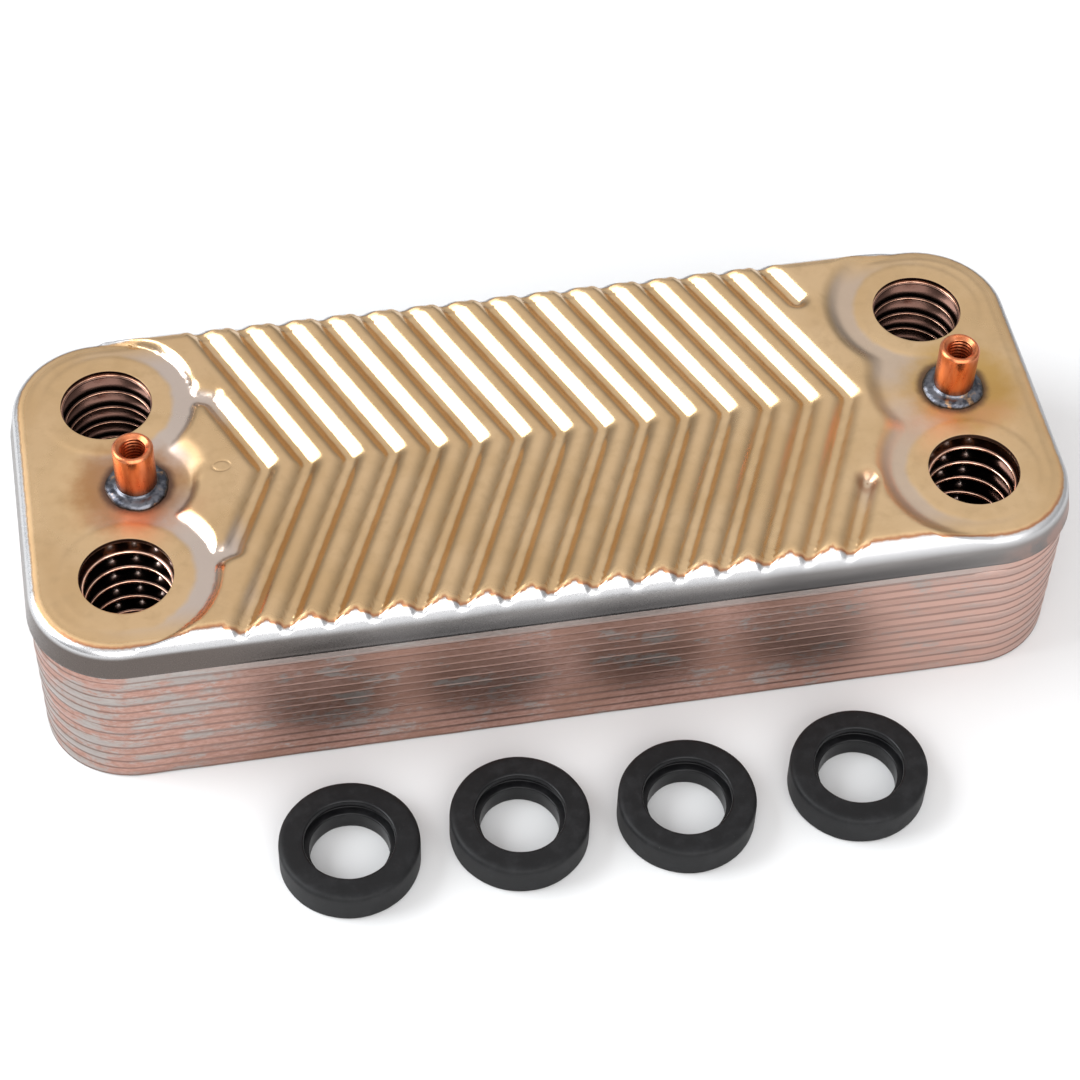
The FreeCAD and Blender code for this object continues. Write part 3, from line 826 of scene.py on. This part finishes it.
def front_finish():
    """Heat-tinted steel: straw gold on top, lilac round the seats, bare grey on the flange."""
    f = Finish("front_steel_tinted", 1.0)
    port, stud_d, edge, relief, drop = map(f.mark, ("port", "stud", "edge", "relief", "drop"))
    x, y, _ = f.node("ShaderNodeSeparateXYZ", {0: f.place}).outputs
    broad, medium, fine = f.noise(0.06, 4), f.noise(0.35, 4), f.noise(2.2, 3)
    gold = f.mix(f.span(broad, 0.35, 0.65), (0.60, 0.405, 0.215), (0.665, 0.465, 0.265))
    gold = f.mix(f.times(f.span(medium, 0.45, 0.75), 0.5), gold, (0.54, 0.37, 0.20))
    # lilac band round the gold seats
    wander = f.stray(port, f.noise(0.2, 2), 1.6)
    outside_seat = f.span(wander, 11.6, 12.9)
    low_ground = f.span(relief, 0.5, 1.5, 1.0, 0.0)
    band = f.times(outside_seat, f.span(wander, 18.0, 25.0, 1.0, 0.0))
    band = f.times(band, low_ground)
    inward = f.span(f.calc("ABSOLUTE", x), 84.0, 76.0)
    band = f.times(band, inward)
    band = f.times(band, f.span(f.calc("ABSOLUTE", y), 35.0, 28.0))
    leftwards = f.span(x, 10.0, -60.0, 0.0, 1.0)
    gold = f.mix(leftwards, gold, (0.96, 0.94, 0.92), "MULTIPLY")
    left_share = f.span(x, 30.0, -30.0, 0.55, 0.85)
    colour = f.mix(f.times(band, left_share), gold, (0.525, 0.45, 0.41))
    # brown halo and copper stain from welding
    near = f.stray(stud_d, f.noise(0.3, 4), 4.5)
    outward = f.span(f.calc("ABSOLUTE", x), 72.0, 82.0, 0.0, 2.6)
    near = f.calc("SUBTRACT", near, outward)
    halo = f.span(near, 12.0, 5.5)
    ochre = f.mix(f.span(x, -5.0, 5.0), (0.36, 0.165, 0.06), (0.52, 0.31, 0.085))
    colour = f.mix(f.times(halo, 0.8), colour, ochre)
    dark = f.span(f.calc("ADD", stud_d, f.noise(0.5, 3)), 8.0, 6.4)
    colour = f.mix(f.times(dark, 0.85), colour, (0.09, 0.05, 0.04))
    stain = f.times(f.span(y, -3.0, -7.5), f.span(y, -17.0, -9.0))
    stain = f.times(stain, f.span(stud_d, 17.0, 7.0))
    stain = f.times(stain, f.span(f.noise(0.16, 4), 0.35, 0.6))
    colour = f.mix(f.times(stain, 0.5), colour, (0.60, 0.31, 0.18))
    tip = f.calc("ADD", f.mark("tip"), f.noise(0.6, 3))
    rust = f.times(f.span(tip, 3.6, 1.9), f.span(tip, 0.9, 1.9, 0.0, 0.55))
    rust = f.calc("MAXIMUM", rust, f.span(tip, 0.8, 0.45, 0.0, 0.7))
    colour = f.mix(rust, colour, (0.34, 0.16, 0.085))
    # bare shoulder and flange, with a brown line where the tint ends
    border = f.stray(edge, f.noise(0.8, 3), 0.5)
    brown = f.times(f.span(border, -0.5, 0.0), f.span(border, 0.7, 0.1))
    brown = f.times(brown, f.span(y, -20.0, -33.0, 0.15, 0.8))
    colour = f.mix(brown, colour, (0.36, 0.14, 0.07))
    bare = f.span(border, 0.1, -0.35)
    grey = f.mix(f.span(f.noise(0.12, 4, vector=f.stretched(0.4, 0.4, 1.6)), 0.35, 0.7),
                 (0.26, 0.245, 0.235), (0.36, 0.34, 0.33))
    along = f.calc("ABSOLUTE", x)
    # painted shade: the bare flange is painted darker towards its lower edge along the middle
    lower = f.times(f.span(drop, -1.0, -5.5), f.span(along, 84.0, 60.0, 0.45, 0.85))
    grey = f.mix(lower, grey, (0.085, 0.08, 0.08))
    # painted highlight: the bare rolled shoulder is painted light grey
    shoulder = f.span(drop, -3.0, -1.0)
    grey = f.mix(f.times(shoulder, 0.8), grey, (0.62, 0.62, 0.63))
    pink = f.times(f.span(along, 74.0, 90.0),
                  f.span(f.noise(0.2, 4), 0.35, 0.6))
    pink = f.times(pink, f.span(drop, -1.8, -4.5))
    grey = f.mix(f.times(pink, 0.8), grey, (0.38, 0.24, 0.20))
    # darker on the left part of the flange, just below the shoulder
    local_shift = f.times(f.span(x, -20.0, -70.0), f.span(drop, -1.4, -2.4))
    grey = f.mix(local_shift, grey, (0.125, 0.105, 0.095))
    colour = f.mix(bare, colour, grey)
    specks = f.span(f.noise(3.5, 2), 0.70, 0.78)
    colour = f.mix(f.times(specks, 0.25), colour, (0.2, 0.13, 0.09))
    # painted shade: the port hole walls are painted dark brown
    colour = f.mix(f.mark("wall"), colour, (0.12, 0.065, 0.045))
    f.set("Base Color", colour)
    rough = f.calc("ADD", 0.16, f.times(fine, 0.10))
    rough = f.calc("ADD", rough, f.times(bare, 0.07))
    rough = f.calc("ADD", rough, f.span(stud_d, 22.0, 11.0, 0.0, 0.20))
    matte = f.times(f.span(y, 3.0, -3.0), f.span(x, 30.0, 45.0, 0.0, 0.14))
    rough = f.calc("ADD", rough, matte)
    rough = f.calc("ADD", rough, f.times(f.mark("dull"), 0.3))
    rolled = f.times(f.span(border, 0.0, 0.25), f.span(border, 1.3, 0.5, 0.0, 0.26))
    rough = f.calc("ADD", rough, rolled)
    f.set("Roughness", rough)
    grain = f.bump(f.noise(5.0, 3), 0.012, 0.5)
    f.set("Normal", f.bump(f.noise(0.5, 3), 0.05, 0.5, grain))
    return f.material


def plate_finish():
    """Thin pressed steel washed with copper: rose rims with bare silver patches, painted shadow along the
    lips, dark brown painted shade inside the ports and painted highlights on the dimples.
    """
    f = Finish("plate_steel_washed", 1.0)
    rise, port, level = f.mark("rise"), f.mark("port"), f.mark("level")
    x = f.node("ShaderNodeSeparateXYZ", {0: f.place}).outputs[0]
    across = f.calc("ABSOLUTE", x)
    patches = f.noise(0.12, 5, 0.6, f.stretched(1.0, 1.0, 2.2))
    fine = f.noise(1.3, 4, 0.65, f.stretched(0.6, 0.6, 1.6))
    rose = f.mix(f.span(fine, 0.3, 0.7), (0.39, 0.22, 0.175), (0.50, 0.31, 0.26))
    brown = f.times(f.span(f.noise(0.045, 3), 0.42, 0.6), f.span(across, 82.0, 60.0))
    rose = f.mix(f.times(brown, 0.5), rose, (0.31, 0.172, 0.125))
    rose = f.mix(f.times(f.span(x, 30.0, 66.0), 0.8), rose, (0.60, 0.385, 0.325))
    silver = f.mix(fine, (0.32, 0.295, 0.275), (0.46, 0.43, 0.41))
    bare = f.calc("ADD", patches, f.times(fine, 0.35))
    bare = f.calc("ADD", bare, f.span(x, -55.0, -80.0, 0.0, 0.10))
    bare = f.times(f.span(bare, 0.70, 0.84), f.span(x, 60.0, 84.0, 1.0, 0.25))
    colour = f.mix(f.times(bare, 0.8), rose, silver)
    top_band = f.times(f.span(level, 12.4, 12.6), f.span(across, 84.0, 70.0))
    colour = f.mix(f.times(top_band, 0.7), colour, silver)
    double = f.times(f.mark("pair"), f.span(patches, 0.40, 0.52))
    double = f.times(double, f.span(x, 50.0, 76.0, 0.6, 0.2))
    colour = f.mix(double, colour, silver)
    # painted shade: each rim's lower lip is darkened into a dark line
    lip = f.span(rise, 0.5, 0.3)
    colour = f.mix(f.times(lip, 0.7), colour, (0.19, 0.125, 0.105))
    # painted shadow: the rim darkens just under the lip of the plate above, except on the turned plates
    under = f.times(f.span(rise, 1.45, 2.0), f.calc("SUBTRACT", 1.0, f.mark("pair")))
    colour = f.mix(f.times(under, 0.85), colour, (0.10, 0.055, 0.045))
    # painted shade: surfaces inside the ports are dark brown, darkest on the closed side and on the
    # undersides
    inner = f.times(f.span(port, 16.0, 13.0), f.span(rise, 5.0, 6.0))
    port_shade = f.mix(f.mark("closed"), (0.20, 0.115, 0.09), (0.085, 0.046, 0.036))
    colour = f.mix(inner, colour, port_shade)
    # painted highlight: the dimples are painted pale so they show as bright glints
    boss = f.mark("boss")
    colour = f.mix(boss, colour, (0.85, 0.72, 0.66))
    f.set("Base Color", colour)
    rough = f.calc("ADD", 0.28, f.times(fine, 0.12))
    rough = f.calc("SUBTRACT", rough, f.times(inner, 0.10))
    f.set("Roughness", f.calc("SUBTRACT", rough, f.times(boss, 0.08)))
    grain = f.bump(f.noise(4.0, 3), 0.015, 0.5)
    f.set("Normal", f.bump(fine, 0.04, 0.5, grain))
    return f.material


def copper_finish(name, light, dark, roughness):
    f = Finish(name, 1.0)
    bead = f.mark("bead")
    tone = f.span(f.noise(0.7, 4), 0.3, 0.7)
    colour = f.mix(tone, dark, light)
    # painted shadow: the seams under the lips take a dark copper, and the beads mix it with bright copper
    # by their bead value
    painted_shade = f.mix(tone, (0.20, 0.10, 0.07), (0.46, 0.23, 0.14))
    f.set("Base Color", f.mix(bead, painted_shade, colour))
    f.set("Roughness", f.calc("ADD", roughness, f.times(f.noise(3.0, 3), 0.12)))
    f.set("Normal", f.bump(f.noise(2.5, 3), 0.03, 0.5))
    return f.material


def stud_finish():
    """Bright orange copper, darker towards the foot, and darkened in the thread as painted shade."""
    f = Finish("stud_copper_bright", 1.0)
    height, part = f.mark("height"), f.mark("part")
    streak = f.noise(0.5, 4, 0.6, f.stretched(2.0, 2.0, 0.35))
    colour = f.mix(f.span(streak, 0.3, 0.7), (0.52, 0.15, 0.06), (0.63, 0.225, 0.105))
    foot = f.span(height, 3.6, 1.2)
    colour = f.mix(f.times(foot, 0.7), colour, (0.22, 0.085, 0.045))
    # painted shade: the thread inside the hole is darkened
    colour = f.mix(f.times(part, 0.45), colour, (0.36, 0.13, 0.06))
    f.set("Base Color", colour)
    f.set("Roughness", f.calc("ADD", 0.22, f.times(streak, 0.14)))
    f.set("Normal", f.bump(f.noise(3.5, 3), 0.02, 0.5))
    return f.material


def weld_finish():
    """Blue-black welded steel with brown and silver temper colours."""
    f = Finish("weld_bead_tempered", 1.0)
    tone = f.noise(0.6, 4, 0.6)
    colour = f.mix(f.span(tone, 0.35, 0.6), (0.045, 0.047, 0.058), (0.14, 0.142, 0.16))
    colour = f.mix(f.span(f.noise(0.35, 3), 0.58, 0.72), colour, (0.42, 0.25, 0.13))
    f.set("Base Color", colour)
    f.set("Roughness", f.calc("ADD", 0.22, f.times(tone, 0.15)))
    f.set("Normal", f.bump(f.noise(1.8, 3), 0.05, 0.6))
    return f.material


def rubber_finish():
    """Matte black rubber with a dusty bloom and fine scuffs."""
    f = Finish("seal_rubber_black", 0.0)
    dust = f.noise(0.35, 5, 0.65)
    colour = f.mix(f.span(dust, 0.4, 0.75), (0.004, 0.004, 0.0045), (0.011, 0.011, 0.012))
    specks = f.span(f.noise(2.6, 3), 0.70, 0.80)
    colour = f.mix(f.times(specks, 0.5), colour, (0.10, 0.10, 0.10))
    f.set("Base Color", colour)
    local_shift = f.span(f.mark("radius"), 9.4, 8.4, 0.48, 0.24)
    f.set("Roughness", f.calc("ADD", local_shift, f.times(dust, 0.2)))
    f.set("Specular IOR Level", 0.25)
    grain = f.bump(f.noise(3.5, 4), 0.03, 0.6)
    f.set("Normal", f.bump(f.noise(0.6, 3), 0.05, 0.4, grain))
    return f.material


# ---------------------------------------------------------------- the object
steel, washed = front_finish(), plate_finish()
braze = copper_finish("braze_copper_bead", (0.92, 0.60, 0.46), (0.72, 0.38, 0.26), 0.16)
front_plate(steel)
shape = Tray()
for level in range(CHANNEL_COUNT, 0, -1):
    number = CHANNEL_COUNT + 1 - level
    tray(shape, level, washed, f"channel_plate_{number:02d}_steel", f"channel_plate_{number:02d}")
tray(shape, 0, washed, "back_plate_steel", "back_plate")
for level in range(CHANNEL_COUNT, -1, -1):
    seam(shape, level, braze)
copper, tempered, rubber = stud_finish(), weld_finish(), rubber_finish()
for side, x in STUDS.items():
    stud(side, x, copper)
    weld(side, x, tempered)
for number, (x, y) in enumerate(SEALS, 1):
    seal(number, x, y, rubber)

# ---------------------------------------------------------------- floor, light, camera
FLOOR_HALF, FLOOR_LEVEL = 6, -0.0002
BACKGROUND_TINT = (0.99, 0.99, 1.0, 1)
CAMERA_PLACE = (-0.070495, -0.339360, 0.43271)
CAMERA_AZIMUTH, CAMERA_ELEVATION, CAMERA_ROLL = -0.207709, 0.887504, 0.036042
SENSOR_WIDTH, FOCAL_LENGTH = 36, 95.86


def pale_floor():
    mesh = bpy.data.meshes.new("floor")
    corners = [(sx * FLOOR_HALF, sy * FLOOR_HALF, 0) for sx, sy in ((-1, -1), (1, -1), (1, 1), (-1, 1))]
    mesh.from_pydata(corners, [], [(0, 1, 2, 3)])
    made = bpy.data.objects.new("floor", mesh)
    bpy.context.scene.collection.objects.link(made)
    made.location.z = FLOOR_LEVEL
    pale = Finish("floor_pale", 0.0, 0.9)
    pale.set("Base Color", (0.7, 0.7, 0.7, 1))
    pale.set("Specular IOR Level", 0.1)
    mesh.materials.append(pale.material)
    return made


def panel(name, place, target, width, height, power, tint=(1, 1, 1)):
    """A soft box that faces a point."""
    light = bpy.data.lights.new(name, "AREA")
    light.color = tint
    light.shape = "RECTANGLE"
    light.size, light.size_y, light.energy = width, height, power
    made = bpy.data.objects.new(name, light)
    bpy.context.scene.collection.objects.link(made)
    made.visible_camera = False
    made.location = place
    made.rotation_euler = (Vector(target) - Vector(place)).to_track_quat("-Z", "Y").to_euler()


def studio_world():
    """A plain surround: dim at the horizon, brighter overhead, a little dimmer to the right."""
    world = bpy.data.worlds.new("studio")
    bpy.context.scene.world = world
    world.use_nodes = True
    nodes, links = world.node_tree.nodes, world.node_tree.links
    split = nodes.new("ShaderNodeSeparateXYZ")
    links.new(nodes.new("ShaderNodeTexCoord").outputs["Generated"], split.inputs[0])
    strength = nodes.new("ShaderNodeMath")
    strength.operation = "MULTIPLY"
    falloffs = (("Z", (-0.1, 0.85, 0.32, 1.0)), ("X", (0.2, 1.0, 1.0, 0.9)))
    for socket, (axis, span) in zip(strength.inputs, falloffs):
        made = nodes.new("ShaderNodeMapRange")
        made.interpolation_type = "SMOOTHSTEP"
        links.new(split.outputs[axis], made.inputs["Value"])
        for key, number in zip(("From Min", "From Max", "To Min", "To Max"), span):
            made.inputs[key].default_value = number
        links.new(made.outputs["Result"], socket)
    links.new(strength.outputs[0], nodes["Background"].inputs["Strength"])
    nodes["Background"].inputs["Color"].default_value = BACKGROUND_TINT


def studio_camera():
    """The camera of the photograph, by its place, direction and roll."""
    data = bpy.data.cameras.new("camera")
    made = bpy.data.objects.new("camera", data)
    bpy.context.scene.collection.objects.link(made)
    ahead = math.cos(CAMERA_ELEVATION)
    back = Vector((math.sin(CAMERA_AZIMUTH) * ahead, -math.cos(CAMERA_AZIMUTH) * ahead,
                   math.sin(CAMERA_ELEVATION)))
    right = Vector((math.cos(CAMERA_AZIMUTH), math.sin(CAMERA_AZIMUTH), 0))
    up = back.cross(right)
    c, s = math.cos(CAMERA_ROLL), math.sin(CAMERA_ROLL)
    axes = (right * c + up * s, up * c - right * s, back, Vector(CAMERA_PLACE))
    made.matrix_world = Matrix([[axis[i] for axis in axes] for i in range(3)] + [[0, 0, 0, 1]])
    data.sensor_width = SENSOR_WIDTH
    data.lens = FOCAL_LENGTH
    data.clip_start, data.clip_end = 0.01, 50
    bpy.context.scene.camera = made


floor = pale_floor()
panel("soft_left", (-1.06, 0.20, 0.70), (0, 0, 0.03), 0.85, 1.12, 20, (0.93, 0.97, 1.0))
panel("soft_front", (0.05, -1.28, 0.76), (0, 0, 0.03), 1.9, 1.4, 23.5)
studio_world()
studio_camera()
bpy.context.scene.view_settings.view_transform = "Standard"
bpy.context.scene.view_settings.look = "None"
